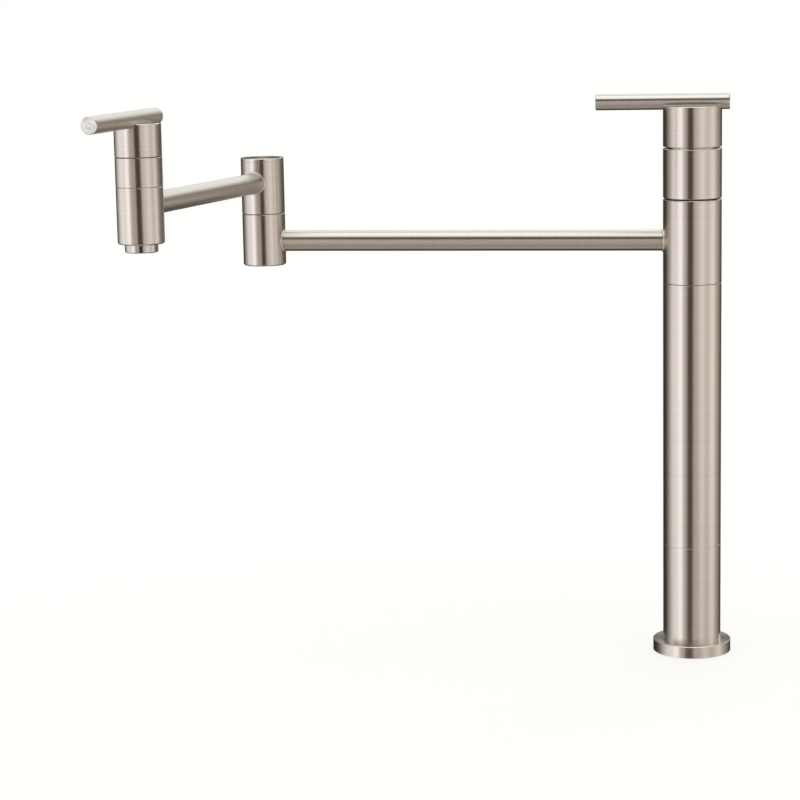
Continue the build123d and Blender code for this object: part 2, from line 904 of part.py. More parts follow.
with BuildPart() as aerator_screen:
    with BuildSketch(level(head_at, z_screen)):
        Circle(aerator_bore / 2 - slip)
        Circle(screen_hole_od / 2, mode=Mode.SUBTRACT)
        for ring in range(1, screen_rings + 1):
            with PolarLocations(ring * screen_pitch, ring * hexagon_sides):
                Circle(screen_hole_od / 2, mode=Mode.SUBTRACT)
    extrude(amount=screen_thickness)
keep(aerator_screen, "aerator_screen")

aerator_washer = rings(
    head_at, aerator_thread_r - slip, water_r + slip, aerator_washer_thickness, z_aerator_washer
)
keep(aerator_washer, "aerator_washer")

# Openings of both ceramic discs: two opposite sectors that line up when the valve is open.
with BuildSketch() as disc_openings:
    for middle in (0, half_turn):
        with BuildLine():
            outer = CenterArc((0, 0), disc_r - disc_rim, middle - disc_opening / 2, disc_opening)
            inner = CenterArc((0, 0), disc_middle_od / 2, middle - disc_opening / 2, disc_opening)
            Line(outer @ 0, inner @ 0)
            Line(outer @ 1, inner @ 1)
        make_face()


def valve(prefix, at, face, angle):
    """The fixed half of a valve: cartridge, fixed disc and seat seal, hung from a face."""
    cage_bottom = face - cartridge_thread - cage_length
    disc_bottom = cage_bottom - disc_proud
    chamber_top = face - cartridge_thread - chamber_roof
    hex_top = face + cartridge_hex
    lug_height = fixed_disc_thickness - disc_proud + slip
    with BuildPart() as cartridge:
        with BuildSketch(level(at, face)):
            RegularPolygon(cartridge_flats / 2, hexagon_sides, major_radius=False)
        extrude(amount=cartridge_hex)
        with BuildSketch(section(at)):
            with BuildLine():
                Polyline(
                    (0, cage_bottom),
                    (cage_r, cage_bottom),
                    (cage_r, face - cartridge_thread),
                    (cartridge_r, face - cartridge_thread),
                    (cartridge_r, face),
                    (neck_od / 2, face),
                    (neck_od / 2, hex_top + neck_height),
                    (0, hex_top + neck_height),
                    close=True,
                )
            make_face()
        revolve(axis=upright(at))
        with BuildSketch(level(at, cage_bottom)):
            Circle(disc_chamber_r)
        extrude(amount=chamber_top - cage_bottom, mode=Mode.SUBTRACT)
        with BuildSketch(level(at, chamber_top)):
            Circle(stem_r + running)
        extrude(amount=hex_top + neck_height - chamber_top, mode=Mode.SUBTRACT)
        with Locations(level(at, face - window_drop, angle)):
            with PolarLocations(cage_r, window_count):
                Box(cage_r, window_width, window_height, mode=Mode.SUBTRACT)
        with Locations(level(at, cage_bottom, angle + quarter_turn)):
            with PolarLocations(cage_r, 2):
                Box(cage_r, lug_width + 2 * slip, 2 * lug_height, mode=Mode.SUBTRACT)
    keep(cartridge, f"{prefix}_cartridge")

    with BuildPart() as fixed_disc:
        with BuildSketch(level(at, disc_bottom, angle)):
            Circle(disc_r)
            Rectangle(lug_width, 2 * (cage_r - 2 * slip))
            add(disc_openings.sketch, mode=Mode.SUBTRACT)
        extrude(amount=fixed_disc_thickness)
    keep(fixed_disc, f"{prefix}_fixed_disc")

    seat_seal = rings(at, cage_r - slip, water_r, seat_seal_thickness, face - seat_depth)
    keep(seat_seal, f"{prefix}_seat_seal")


def valve_drive(prefix, at, face, angle):
    """The turning half of a valve, shut: moving disc, splined stem, its seals and its clip."""
    disc_bottom = face - cartridge_thread - cage_length - disc_proud + fixed_disc_thickness + lap
    disc_top = disc_bottom + moving_disc_thickness
    foot_top = disc_top + stem_foot_height
    collar_top = face - cartridge_thread - chamber_roof - play
    clip_bottom = face + clip_top - clip_thickness
    seal_heights = pair(face + stem_seal_rise, stem_seal_spacing)
    stem_seal_grooves = seal_grooves(at, stem_r, stem_seal_section, *seal_heights)
    slot_width = lug_width + 2 * slip
    with BuildPart() as moving_disc:
        with BuildSketch(level(at, disc_bottom, angle + quarter_turn)):
            Circle(disc_r - slip)
            add(disc_openings.sketch, mode=Mode.SUBTRACT)
        extrude(amount=moving_disc_thickness)
        with BuildSketch(level(at, disc_top, angle)):
            Rectangle(2 * disc_r, slot_width)
        extrude(amount=-disc_slot_depth, mode=Mode.SUBTRACT)
    keep(moving_disc, f"{prefix}_moving_disc")

    with BuildPart() as stem:
        with BuildSketch(section(at)):
            with BuildLine():
                Polyline(
                    (0, foot_top),
                    (stem_waist_od / 2, foot_top),
                    (stem_waist_od / 2, collar_top - stem_collar_height),
                    (stem_foot_od / 2, collar_top - stem_collar_height),
                    (stem_foot_od / 2, collar_top),
                    (stem_r, collar_top),
                    (stem_r, clip_bottom),
                    (spline_root_r, clip_bottom),
                    (spline_root_r, face + stem_height),
                    (0, face + stem_height),
                    close=True,
                )
            make_face()
        revolve(axis=upright(at))
        add(stem_seal_grooves.part, mode=Mode.SUBTRACT)
        with BuildSketch(level(at, disc_top, angle)):
            Circle(stem_foot_od / 2)
            Rectangle(stem_foot_od, stem_foot_width, mode=Mode.INTERSECT)
        extrude(amount=stem_foot_height)
        with BuildSketch(level(at, disc_top, angle)):
            Circle(stem_foot_od / 2)
            Rectangle(stem_foot_od, lug_width, mode=Mode.INTERSECT)
        extrude(amount=-disc_slot_depth + slip)
        with BuildSketch(level(at, clip_bottom + clip_thickness)):
            with PolarLocations(spline_root_r, spline_teeth):
                Rectangle(2 * spline_depth, spline_tooth)
        extrude(amount=stem_height - clip_top)
    keep(stem, f"{prefix}_stem")

    stem_seals = seals(at, stem_r, stem_seal_section, *seal_heights)
    keep(stem_seals, f"{prefix}_stem_seals")

    with BuildPart() as stem_clip:
        with BuildSketch(level(at, clip_bottom, angle)):
            Circle(clip_od / 2)
            Circle(spline_root_r + running, mode=Mode.SUBTRACT)
            Rectangle(
                clip_od / 2, clip_mouth, align=(Align.MIN, Align.CENTER), mode=Mode.SUBTRACT
            )
        extrude(amount=clip_thickness)
    keep(stem_clip, f"{prefix}_stem_clip")


def handle(prefix, at, face, bottom, height, casing_r, angle, long_end, short_end):
    """A handle: a hub splined to the stem, and a lever rod screwed down in its saddle."""
    top = bottom + height
    tip = face + stem_height
    roof = tip - hub_roof_drop
    boss_bottom = tip - spline_grip
    lever_r = lever_od / 2
    lever_height = top + lever_r - lever_sink
    lever_bottom = top - lever_sink
    set_screw_height = tip - set_screw_drop
    bore_root_r = spline_root_r + slip
    set_screw_inner = spline_r + slip
    with BuildPart() as hub:
        with BuildSketch(section(at)):
            with BuildLine():
                Polyline(
                    (0, boss_bottom),
                    (hub_boss_od / 2, boss_bottom),
                    (hub_boss_od / 2, roof),
                    (casing_r - hub_wall, roof),
                    (casing_r - hub_wall, bottom),
                    (casing_r, bottom),
                    (casing_r, top),
                    (0, top),
                    close=True,
                )
            make_face()
        revolve(axis=upright(at))
        chamfer([top_rim(hub), bottom_rim(hub)], edge_break)
        with BuildSketch(level(at, boss_bottom)):
            Circle(bore_root_r)
            with PolarLocations(bore_root_r, spline_teeth):
                Rectangle(2 * spline_depth, spline_tooth + 2 * slip)
        extrude(amount=spline_grip + reach_gap, mode=Mode.SUBTRACT)
        with BuildSketch(facing(at, lever_height, angle).offset(-casing_r)):
            Circle(lever_r + lever_fit)
        extrude(amount=2 * casing_r, mode=Mode.SUBTRACT)
        with BuildSketch(level(at, roof, angle)):
            with Locations((-lever_screw_offset, 0), (lever_screw_offset, 0)):
                Circle(lever_screw_od / 2 + slip)
        extrude(amount=lever_height - roof, mode=Mode.SUBTRACT)
        with BuildSketch(facing(at, set_screw_height, angle - quarter_turn)):
            Circle(set_screw_od / 2 + slip)
        extrude(amount=casing_r, mode=Mode.SUBTRACT)
    keep(hub, f"{prefix}_hub")

    with BuildPart() as lever:
        with BuildSketch(facing(at, lever_height, angle).offset(-short_end)):
            Circle(lever_r)
        extrude(amount=short_end + long_end)
        chamfer(lever.edges().filter_by(GeomType.CIRCLE), lever_chamfer)
        with BuildSketch(level(at, lever_bottom, angle)):
            with Locations((-lever_screw_offset, 0), (lever_screw_offset, 0)):
                Circle(lever_screw_od / 2 + slip)
        extrude(amount=lever_screw_bite + reach_gap, mode=Mode.SUBTRACT)
    keep(lever, f"{prefix}_lever")

    with BuildPart() as lever_screws:
        with BuildSketch(level(at, roof - lever_screw_head, angle)):
            with Locations((-lever_screw_offset, 0), (lever_screw_offset, 0)):
                Circle(lever_screw_head_od / 2)
        extrude(amount=lever_screw_head)
        with BuildSketch(level(at, roof, angle)):
            with Locations((-lever_screw_offset, 0), (lever_screw_offset, 0)):
                Circle(lever_screw_od / 2)
        extrude(amount=lever_bottom + lever_screw_bite - roof)
    keep(lever_screws, f"{prefix}_lever_screws")

    with BuildPart() as set_screw:
        with BuildSketch(facing(at, set_screw_height, angle - quarter_turn).offset(set_screw_inner)):
            Circle(set_screw_od / 2)
        extrude(amount=set_screw_length)
    keep(set_screw, f"{prefix}_set_screw")


valve("inlet", column_at, z_inlet_face, inlet_lever_heading)
valve_drive("inlet", column_at, z_inlet_face, inlet_lever_heading)
handle(
    "inlet",
    column_at,
    z_inlet_face,
    z_inlet_hub,
    inlet_hub_height,
    column_r,
    inlet_lever_heading,
    inlet_lever_long,
    inlet_lever_short,
)

valve("outlet", head_at, z_outlet_face, outlet_lever_heading)
valve_drive("outlet", head_at, z_outlet_face, outlet_lever_heading)
handle(
    "outlet",
    head_at,
    z_outlet_face,
    z_outlet_hub,
    outlet_hub_height,
    joint_r,
    outlet_lever_heading,
    outlet_lever_long,
    outlet_lever_short,
)
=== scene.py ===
import math

import bpy
from mathutils import Matrix, Vector


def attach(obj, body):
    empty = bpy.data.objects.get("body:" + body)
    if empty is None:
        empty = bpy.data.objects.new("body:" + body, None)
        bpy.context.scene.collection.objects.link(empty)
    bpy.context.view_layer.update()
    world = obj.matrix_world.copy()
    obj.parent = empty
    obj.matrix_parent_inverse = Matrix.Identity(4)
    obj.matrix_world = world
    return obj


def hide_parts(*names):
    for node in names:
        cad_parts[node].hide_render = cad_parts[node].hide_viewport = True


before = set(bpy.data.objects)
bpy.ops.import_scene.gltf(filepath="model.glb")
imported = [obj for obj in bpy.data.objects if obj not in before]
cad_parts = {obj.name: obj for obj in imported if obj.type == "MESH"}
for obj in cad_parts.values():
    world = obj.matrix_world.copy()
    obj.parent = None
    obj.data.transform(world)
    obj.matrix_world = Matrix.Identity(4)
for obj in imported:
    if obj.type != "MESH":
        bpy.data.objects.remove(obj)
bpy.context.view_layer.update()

# Viewpoint: a long lens in front of the tap and a little above it, turned slightly down
# and to the left, so that the whole tap stands in a square picture. Metres and degrees.
lens_mm = 110.33
film_mm = 36.0
stand = Vector((0.0857, -1.8738, 0.5215))
pitch = math.radians(9.737)
yaw = math.radians(-9.512)
roll = math.radians(-1.09)
ahead = Vector((math.sin(yaw) * math.cos(pitch), math.cos(yaw) * math.cos(pitch), -math.sin(pitch)))
across = Vector((math.cos(yaw), -math.sin(yaw), 0.0))
upward = across.cross(ahead)
right = across * math.cos(roll) + upward * math.sin(roll)
top = upward * math.cos(roll) - across * math.sin(roll)
bpy.ops.object.camera_add()
viewpoint = bpy.context.object
viewpoint.data.lens = lens_mm
viewpoint.data.sensor_width = film_mm
facing_ahead = Matrix((right, top, -ahead)).transposed().to_4x4()
viewpoint.matrix_world = Matrix.Translation(stand) @ facing_ahead
bpy.context.scene.camera = viewpoint
bpy.context.scene.view_settings.view_transform = "Standard"

# Studio: a white paper floor, and a tent of white cloth round the tap. The cloth is lit
# from left, right and above, with dark gaps at its seams that give the metal its bands.
floor_drop = 0.0004
floor_span = 8.0
paper_glow = 0.70
# A ramp holds no more than 1, so each light is stored as a share of the brightest one
brightest = 2.0


def linear(colour):
    """The linear value of an sRGB colour written as six hex digits."""
    values = [int(colour[i:i + 2], 16) / 255 for i in (0, 2, 4)]
    return [v / 12.92 if v <= 0.04045 else ((v + 0.055) / 1.055) ** 2.4 for v in values] + [1.0]


def add_node(tree, kind, inputs={}, **settings):
    """Adds a node and sets it. Each input, by name or number, gets a value or a link."""
    made = tree.nodes.new(kind)
    for name, value in settings.items():
        setattr(made, name, value)
    for name, value in inputs.items():
        if isinstance(value, bpy.types.NodeSocket):
            tree.links.new(value, made.inputs[name])
        else:
            made.inputs[name].default_value = value
    return made


def new_tree(owner):
    """Turns on an owner's nodes and empties them."""
    owner.use_nodes = True
    owner.node_tree.nodes.clear()
    return owner.node_tree


def cloth_light(tree, where, start, span, steps, dim=(0.57, 0.15), full=(1.03, 1.10)):
    """A ramp of lit cloth over a coordinate. Dim cloth is warm and bright cloth is cool:
    their green is given as a share of red, and their blue as a share of green."""
    full_light = 1.2
    bend = 0.3
    along = add_node(
        tree, "ShaderNodeMapRange", {"Value": where, 1: start, 2: start + span}
    ).outputs[0]
    ramp = add_node(tree, "ShaderNodeValToRGB", {0: along})
    stops = ramp.color_ramp.elements
    while len(stops) < len(steps):
        stops.new(0.5)
    for stop, (place, light) in zip(stops, steps):
        bright = min(light / full_light, 1.0) ** bend
        green, blue = (low + (high - low) * bright for low, high in zip(dim, full))
        stop.position = (place - start) / span
        stop.color = [
            light / green / brightest, light / brightest, light * blue / green / brightest, 1.0,
        ]
    return ramp.outputs[0]


# Light of the walls at each bearing, in degrees from the front, right positive. This and
# the tables below were fitted to the bands in the photo, so they are no real tent.
tent_walls = (
    (-180, 0.10), (-162, 0.07), (-150, 0.03), (-120, 0.02), (-102, 0.90), (-84, 1.12), (-76, 1.05),
    (-67, 0.98), (-58, 1.08), (-50, 1.36), (-42, 1.56), (-35, 0.92), (-27, 0.53), (-18, 0.46),
    (0, 0.55), (12, 0.72), (30, 0.90), (60, 0.9), (110, 0.4), (130, 0.18), (150, 0.06),
    (162, 0.05), (180, 0.10),
)
# Share of the wall light at each height, in degrees above the horizon
wall_heights = (
    (-90, 0.0), (-72, 0.0), (-53, 0.14), (-38, 0.58), (-24, 1.06), (-5, 1.18), (13, 1.2),
    (19, 0.1), (90, 0.0),
)
# Light of the roof and of the table at each height
roof_heights = (
    (-90, 0.56), (-70, 0.46), (-56, 0.22), (-40, 0.0), (40, 0.0), (50, 1.30), (58, 1.70),
    (70, 1.70), (82, 1.88), (90, 1.75),
)
# Degrees that the roof comes lower towards the back, and more in its right corner there,
# and the values of the direction's X and Y between which each fall grows
roof_fall = 24.0
roof_fall_y = (0.1, 0.75)
corner_fall = 12.0
corner_fall_x = (0.15, 0.40)
corner_fall_y = (0.6, 0.85)
# Share of the roof's light from the front to the back
front_roof = 0.76
roof_depths = (
    (-1.0, front_roof), (0.12, front_roof), (0.36, 0.42), (0.62, 0.46), (0.85, 0.93), (1.0, 0.93),
)
world = bpy.data.worlds.new("white_tent")
bpy.context.scene.world = world
sky = new_tree(world)
way = add_node(sky, "ShaderNodeTexCoord").outputs["Generated"]
axes = add_node(sky, "ShaderNodeSeparateXYZ", {0: way}).outputs
forward = add_node(sky, "ShaderNodeMath", {0: axes["Y"], 1: -1.0}, operation="MULTIPLY").outputs[0]
turn = add_node(sky, "ShaderNodeMath", {0: axes["X"], 1: forward}, operation="ARCTAN2").outputs[0]
bearing = add_node(sky, "ShaderNodeMath", {0: turn}, operation="DEGREES").outputs[0]
rise = add_node(sky, "ShaderNodeMath", {0: axes["Z"]}, operation="ARCSINE").outputs[0]
height = add_node(sky, "ShaderNodeMath", {0: rise}, operation="DEGREES").outputs[0]
back_drop = add_node(sky, "ShaderNodeMapRange", {
    "Value": axes["Y"], 1: roof_fall_y[0], 2: roof_fall_y[1], 3: 0.0, 4: roof_fall,
}).outputs[0]
corner_drop = add_node(sky, "ShaderNodeMapRange", {
    "Value": axes["X"], 1: corner_fall_x[0], 2: corner_fall_x[1], 3: 0.0, 4: corner_fall,
}).outputs[0]
back_share = add_node(
    sky, "ShaderNodeMapRange", {"Value": axes["Y"], 1: corner_fall_y[0], 2: corner_fall_y[1]}
).outputs[0]
drop = add_node(
    sky, "ShaderNodeMath", {0: corner_drop, 1: back_share, 2: back_drop}, operation="MULTIPLY_ADD"
).outputs[0]
roof_height = add_node(sky, "ShaderNodeMath", {0: height, 1: drop}, operation="ADD").outputs[0]
walls = cloth_light(sky, bearing, -180, 360, tent_walls)
wall_level = cloth_light(sky, height, -90, 180, wall_heights)
wall_share = add_node(sky, "ShaderNodeSeparateColor", {0: wall_level}).outputs["Green"]
shaded_walls = add_node(
    sky, "ShaderNodeVectorMath", {0: walls, "Scale": wall_share}, operation="SCALE"
).outputs[0]
roof = cloth_light(sky, roof_height, -90, 180, roof_heights, full=(1.07, 1.11))
roof_level = cloth_light(sky, axes["Y"], -1.0, 2.0, roof_depths)
roof_part = add_node(sky, "ShaderNodeSeparateColor", {0: roof_level}).outputs["Green"]
roof_share = add_node(
    sky, "ShaderNodeMath", {0: roof_part, 1: brightest / front_roof}, operation="MULTIPLY"
).outputs[0]
shaded_roof = add_node(
    sky, "ShaderNodeVectorMath", {0: roof, "Scale": roof_share}, operation="SCALE"
).outputs[0]
lit_walls = add_node(
    sky, "ShaderNodeVectorMath", {0: shaded_walls, "Scale": brightest}, operation="SCALE"
).outputs[0]
cloth = add_node(
    sky, "ShaderNodeVectorMath", {0: lit_walls, 1: shaded_roof}, operation="ADD"
).outputs[0]
tent_light = add_node(
    sky, "ShaderNodeBackground", {"Color": cloth, "Strength": brightest}
).outputs[0]
paper_light = add_node(
    sky, "ShaderNodeBackground", {"Color": linear("FFFFFD"), "Strength": 1.0}
).outputs[0]
seen = add_node(sky, "ShaderNodeLightPath").outputs["Is Camera Ray"]
both = add_node(sky, "ShaderNodeMixShader", {0: seen, 1: tent_light, 2: paper_light}).outputs[0]
add_node(sky, "ShaderNodeOutputWorld", {"Surface": both})

bpy.ops.mesh.primitive_plane_add(size=floor_span, location=(0, 0, -floor_drop))
floor = bpy.context.object
floor.name = "paper_floor"
floor.visible_glossy = False
floor.visible_diffuse = False
floor.visible_shadow = False
# White paper, lit from below as well, so that only a faint shadow shows at the foot
paper = bpy.data.materials.new("white_paper")
tree = new_tree(paper)
matt = add_node(tree, "ShaderNodeBsdfDiffuse", {"Color": linear("9C9C9A")}).outputs[0]
glow = add_node(
    tree, "ShaderNodeEmission", {"Color": linear("FFFCF8"), "Strength": paper_glow}
).outputs[0]
surface = add_node(tree, "ShaderNodeAddShader", {0: matt, 1: glow}).outputs[0]
add_node(tree, "ShaderNodeOutputMaterial", {"Surface": surface})
floor.data.materials.append(paper)


def only_in_reflections(sheet):
    """Keeps a sheet out of the picture, the shadows and the light on dull things."""
    sheet.visible_camera = False
    sheet.visible_diffuse = False
    sheet.visible_shadow = False


def near_cloth(
    name, cloth_name, sideways, lengthways, upright, lights, heights, full=(1.03, 1.10)
):
    """An upright sheet of lit cloth at one side of the tap. Its light is given from its
    front to its back, and the share of that light from its foot to its top."""
    dim = (0.80, 0.50)
    front, back = lengthways
    foot, top_edge = upright
    bpy.ops.mesh.primitive_plane_add(
        size=1.0, location=(sideways, (front + back) / 2, (foot + top_edge) / 2),
        rotation=(0, math.radians(90), 0),
    )
    sheet = bpy.context.object
    sheet.name = name
    sheet.scale = (top_edge - foot, back - front, 1.0)
    bpy.ops.object.transform_apply(location=True, rotation=True, scale=True)
    only_in_reflections(sheet)
    cloth_material = bpy.data.materials.new(cloth_name)
    tree = new_tree(cloth_material)
    place = add_node(tree, "ShaderNodeTexCoord").outputs["Object"]
    axes = add_node(tree, "ShaderNodeSeparateXYZ", {0: place}).outputs
    colour = cloth_light(tree, axes["Y"], front, back - front, lights, dim, full)
    level = cloth_light(tree, axes["Z"], foot, top_edge - foot, heights)
    share = add_node(tree, "ShaderNodeSeparateColor", {0: level}).outputs["Green"]
    strength = add_node(
        tree, "ShaderNodeMath", {0: share, 1: brightest ** 2}, operation="MULTIPLY"
    ).outputs[0]
    glow = add_node(tree, "ShaderNodeEmission", {"Color": colour, "Strength": strength}).outputs[0]
    add_node(tree, "ShaderNodeOutputMaterial", {"Surface": glow})
    sheet.data.materials.append(cloth_material)
    return sheet


# The tent's right wall stands close to the tap, so it is a sheet of its own
side_light = (
    (-4.0, 0.45), (-2.2, 0.70), (-1.47, 0.85), (-1.07, 1.05), (-0.80, 1.22), (-0.62, 1.0),
    (-0.42, 0.76), (-0.25, 0.80), (-0.13, 1.06), (0.0, 1.18), (0.08, 1.08), (0.2, 0.78),
    (0.37, 0.48), (0.65, 0.35), (0.85, 0.17), (1.25, 0.06), (1.4, 0.04),
)
side_heights = ((-0.9, 0.45), (-0.45, 0.6), (-0.2, 0.80), (0.04, 1.0), (0.46, 1.0))
side = near_cloth(
    "side_cloth", "lit_cloth", sideways=0.75, lengthways=(-4.0, 1.4), upright=(-0.9, 0.46),
    lights=side_light, heights=side_heights, full=(0.97, 0.98),
)

# The end of the left wall stands nearer too: past it the light fades towards the back
end_light = (
    (-0.3, 1.12), (-0.15, 1.08), (0.0, 0.88), (0.11, 0.64), (0.40, 0.28), (0.83, 0.05), (2.0, 0.03),
)
end_heights = ((-0.9, 0.4), (-0.35, 0.68), (-0.07, 1.0), (0.75, 1.0))
end_wall = near_cloth(
    "left_end_cloth", "fading_cloth", sideways=-1.3, lengthways=(-0.3, 2.0),
    upright=(-0.9, 0.75), lights=end_light, heights=end_heights,
)

# The slit that the lens looks through, a dark brown upright in front of the tap
slit_place = (-0.118, -1.5, 0.25)
slit_width = 0.63
slit_height = 2.0
bpy.ops.mesh.primitive_plane_add(size=1.0, location=slit_place, rotation=(math.radians(90), 0, 0))
slit = bpy.context.object
slit.name = "lens_slit"
slit.scale = (slit_width, slit_height, 1.0)
only_in_reflections(slit)
dark_cloth = bpy.data.materials.new("dark_cloth")
tree = new_tree(dark_cloth)
dark = add_node(
    tree, "ShaderNodeEmission", {"Color": linear("351300"), "Strength": 1.0}
).outputs[0]
add_node(tree, "ShaderNodeOutputMaterial", {"Surface": dark})
slit.data.materials.append(dark_cloth)


# Foot: a round brass plate, turned, nickel plated and brushed in the lathe. It is pinched
# between the column and the deck, and a moulded rubber ring in its underside seals it.
def finish(material, *names):
    """Gives whole nodes of the construction model their material."""
    for name in names:
        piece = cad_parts[name]
        piece.data.materials.clear()
        piece.data.materials.append(material)


def lathe_lines(tree, point, along, spacing, length):
    """Where each line of a turned surface lies, and the way across the lines, about an axis."""
    own = add_node(tree, "ShaderNodeTexCoord").outputs
    off = add_node(
        tree, "ShaderNodeVectorMath", {0: own["Object"], 1: point}, operation="SUBTRACT"
    ).outputs[0]
    ring = add_node(
        tree, "ShaderNodeVectorMath", {0: along, 1: off}, operation="CROSS_PRODUCT"
    ).outputs[0]
    # Worked out in the piece's own frame, so that it turns with the piece
    aside = add_node(
        tree, "ShaderNodeVectorMath", {0: own["Normal"], 1: ring}, operation="CROSS_PRODUCT"
    ).outputs[0]
    over = add_node(
        tree, "ShaderNodeVectorTransform", {0: aside}, convert_from="OBJECT", convert_to="WORLD"
    ).outputs[0]
    run = add_node(
        tree, "ShaderNodeVectorMath", {0: off, 1: along}, operation="DOT_PRODUCT"
    ).outputs["Value"]
    radius = add_node(
        tree, "ShaderNodeVectorMath", {0: ring}, operation="LENGTH"
    ).outputs["Value"]
    pair = add_node(tree, "ShaderNodeCombineXYZ", {0: run, 1: radius}).outputs[0]
    fine = add_node(
        tree, "ShaderNodeVectorMath", {0: pair, "Scale": 1 / spacing}, operation="SCALE"
    ).outputs[0]
    slow = add_node(
        tree, "ShaderNodeVectorMath", {0: off, "Scale": 1 / length}, operation="SCALE"
    ).outputs[0]
    lines = add_node(tree, "ShaderNodeVectorMath", {0: fine, 1: slow}, operation="ADD").outputs[0]
    return lines, over


def satin_nickel(
    name, point=(0, 0, 0), along=(0, 0, 1), dull=0.29, pull=0.8,
    end_dull=0.2, end_tone="D5CBC0", ring_tone="CDC3B8", tones=("CFC5BA", "DBD1C6")
):
    """Nickel plate on brass, brushed with a belt while it turns: fine lines round the piece,
    which spread the reflections along the axis and keep them sharp across it. The real
    lines are 0.05 mm apart; they are drawn 0.4 mm apart so that they show. The faces square
    to the axis have a tone of their own, with wider ring marks, drawn 1.3 mm apart."""
    line_spacing, line_length = 0.0004, 0.06
    ring_spacing, ring_length = 0.0013, 0.004
    side_until, end_from = 0.8, 0.9
    made = bpy.data.materials.new(name)
    tree = new_tree(made)
    lines, over = lathe_lines(tree, point, along, line_spacing, line_length)
    grain = add_node(
        tree, "ShaderNodeTexNoise", {"Vector": lines, "Scale": 1.0, "Detail": 3.0, "Roughness": 0.6}
    ).outputs[0]
    tone = add_node(tree, "ShaderNodeValToRGB", {0: grain})
    tone.color_ramp.elements[0].position = 0.3
    tone.color_ramp.elements[0].color = linear(tones[0])
    tone.color_ramp.elements[1].position = 0.7
    tone.color_ramp.elements[1].color = linear(tones[1])
    rough = add_node(
        tree, "ShaderNodeMapRange", {"Value": grain, 1: 0.3, 2: 0.7, 3: dull - 0.01, 4: dull + 0.01}
    ).outputs[0]
    relief = add_node(
        tree, "ShaderNodeBump", {"Height": grain, "Strength": 0.04, "Distance": 0.00002}
    ).outputs[0]
    facing = add_node(tree, "ShaderNodeTexCoord").outputs["Normal"]
    turned = add_node(tree, "ShaderNodeVectorMath", {0: facing, 1: along}, operation="DOT_PRODUCT")
    square = add_node(
        tree, "ShaderNodeMath", {0: turned.outputs["Value"]}, operation="ABSOLUTE"
    ).outputs[0]
    shine = add_node(tree, "ShaderNodeMapRange", {
        "Value": square, 1: side_until, 2: end_from, 3: rough, 4: end_dull,
    }).outputs[0]
    flat = add_node(
        tree, "ShaderNodeMapRange", {"Value": square, 1: side_until, 2: end_from}
    ).outputs[0]
    rings, _ = lathe_lines(tree, point, along, ring_spacing, ring_length)
    ring = add_node(
        tree, "ShaderNodeTexNoise", {"Vector": rings, "Scale": 1.0, "Detail": 1.0}
    ).outputs[0]
    mark = add_node(tree, "ShaderNodeMapRange", {"Value": ring, 1: 0.4, 2: 0.6}).outputs[0]
    ground = add_node(
        tree, "ShaderNodeMixRGB", {0: mark, 1: linear(end_tone), 2: linear(ring_tone)}
    ).outputs[0]
    colour = add_node(
        tree, "ShaderNodeMixRGB", {0: flat, 1: tone.outputs[0], 2: ground}
    ).outputs[0]
    shader = add_node(tree, "ShaderNodeBsdfPrincipled", {
        "Base Color": colour, "Metallic": 1.0, "Roughness": shine,
        "Anisotropic": pull, "Tangent": over, "Normal": relief,
    }).outputs[0]
    add_node(tree, "ShaderNodeOutputMaterial", {"Surface": shader})
    return made


def black_rubber(name, grain_mm):
    """Moulded rubber: nearly black, dull, with the fine pebble of the mould."""
    made = bpy.data.materials.new(name)
    tree = new_tree(made)
    place = add_node(tree, "ShaderNodeTexCoord").outputs["Object"]
    pebble = add_node(
        tree, "ShaderNodeTexNoise", {"Vector": place, "Scale": 1000 / grain_mm, "Detail": 2.0}
    ).outputs[0]
    tone = add_node(tree, "ShaderNodeValToRGB", {0: pebble})
    tone.color_ramp.elements[0].color = linear("161616")
    tone.color_ramp.elements[1].color = linear("2B2A29")
    relief = add_node(
        tree, "ShaderNodeBump", {"Height": pebble, "Strength": 0.4, "Distance": 0.0001}
    ).outputs[0]
    shader = add_node(tree, "ShaderNodeBsdfPrincipled", {
        "Base Color": tone.outputs[0], "Roughness": 0.62, "IOR": 1.52, "Normal": relief,
    }).outputs[0]
    add_node(tree, "ShaderNodeOutputMaterial", {"Surface": shader})
    return made


turned_nickel = satin_nickel("brushed_nickel_turned")
seal_rubber = black_rubber("moulded_rubber", 0.8)
# The foot's top is paler than the other turned faces only to come out as bright as in the
# photo under this light. The real plating is most likely the same.
foot_nickel = satin_nickel("brushed_nickel_foot", end_tone="EEE3D7", ring_tone="E4D9CD")
finish(foot_nickel, "base_flange")
finish(seal_rubber, "deck_gasket")

# Column casings: the lower casing on the foot, the long tube, the collar that turns and
# the sleeve round the valve. Each is brass, turned, nickel plated and brushed round, and
# they are stacked on threads hidden inside.
finish(turned_nickel, "column_base", "column_tube", "swivel_collar", "valve_sleeve")


